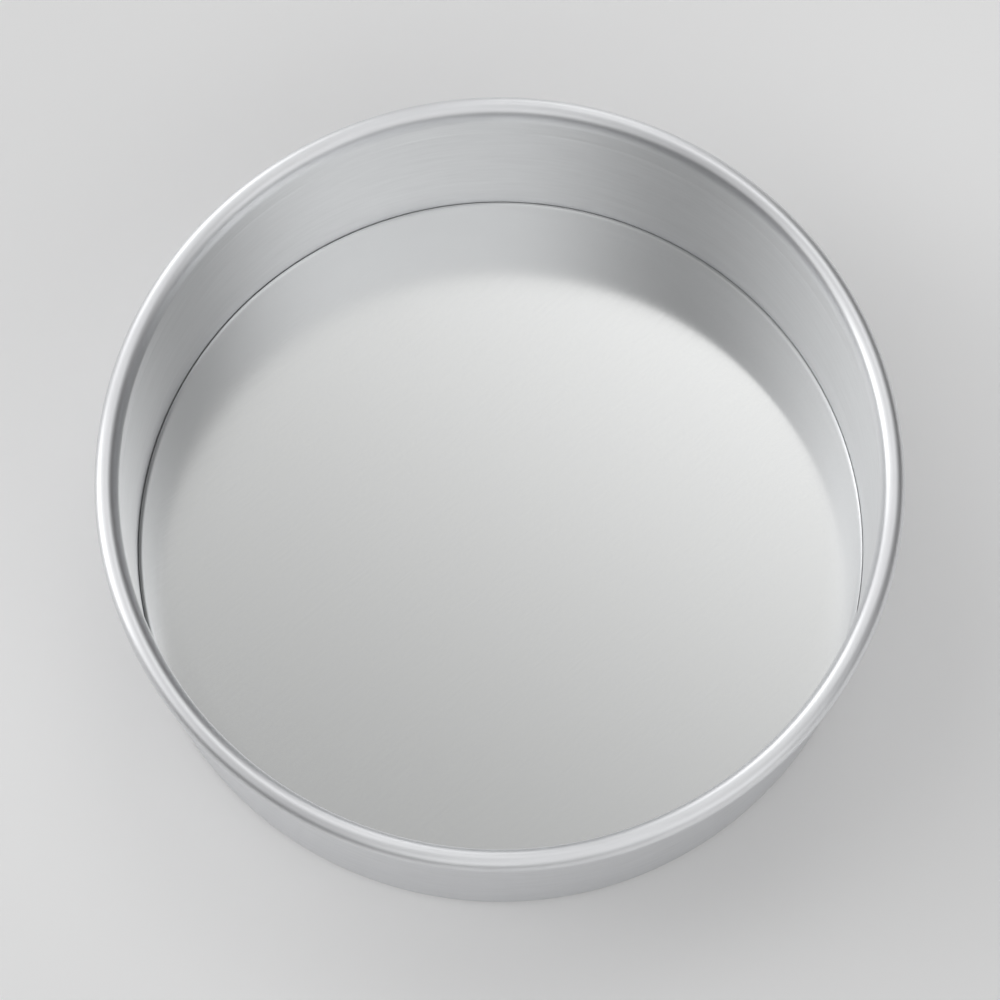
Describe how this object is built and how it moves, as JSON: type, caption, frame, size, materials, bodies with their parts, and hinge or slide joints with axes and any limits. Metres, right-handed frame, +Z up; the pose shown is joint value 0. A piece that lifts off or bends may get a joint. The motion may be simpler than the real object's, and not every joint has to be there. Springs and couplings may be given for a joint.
{
  "type": "round cake tin",
  "caption": "Round, deep, straight-sided cake tin of satin aluminium with a rolled rim, a turned-in ledge at the foot and a loose flat base that pushes up and out.",
  "frame": {"origin": "centre of the foot, on the table", "axes": "+Z up, along the axis of the round wall; the tin is the same all round, and the loose base lies a little towards +Y and +X"},
  "size_m": [0.243, 0.243, 0.0762],
  "materials": {
    "side_aluminium": "silver anodised, satin, with fine lines round the wall from spinning",
    "base_aluminium": "silver anodised rolled sheet, satin, with a faint straight grain"
  },
  "bodies": {
    "side": {"side_ring": "side_aluminium"},
    "base": {"loose_base": "base_aluminium"}
  },
  "joints": [
    {"name": "base_lift", "type": "slide", "parent": "side", "child": "base", "axis": [0, 0, 1], "range_m": [0, 0.09]}
  ]
}
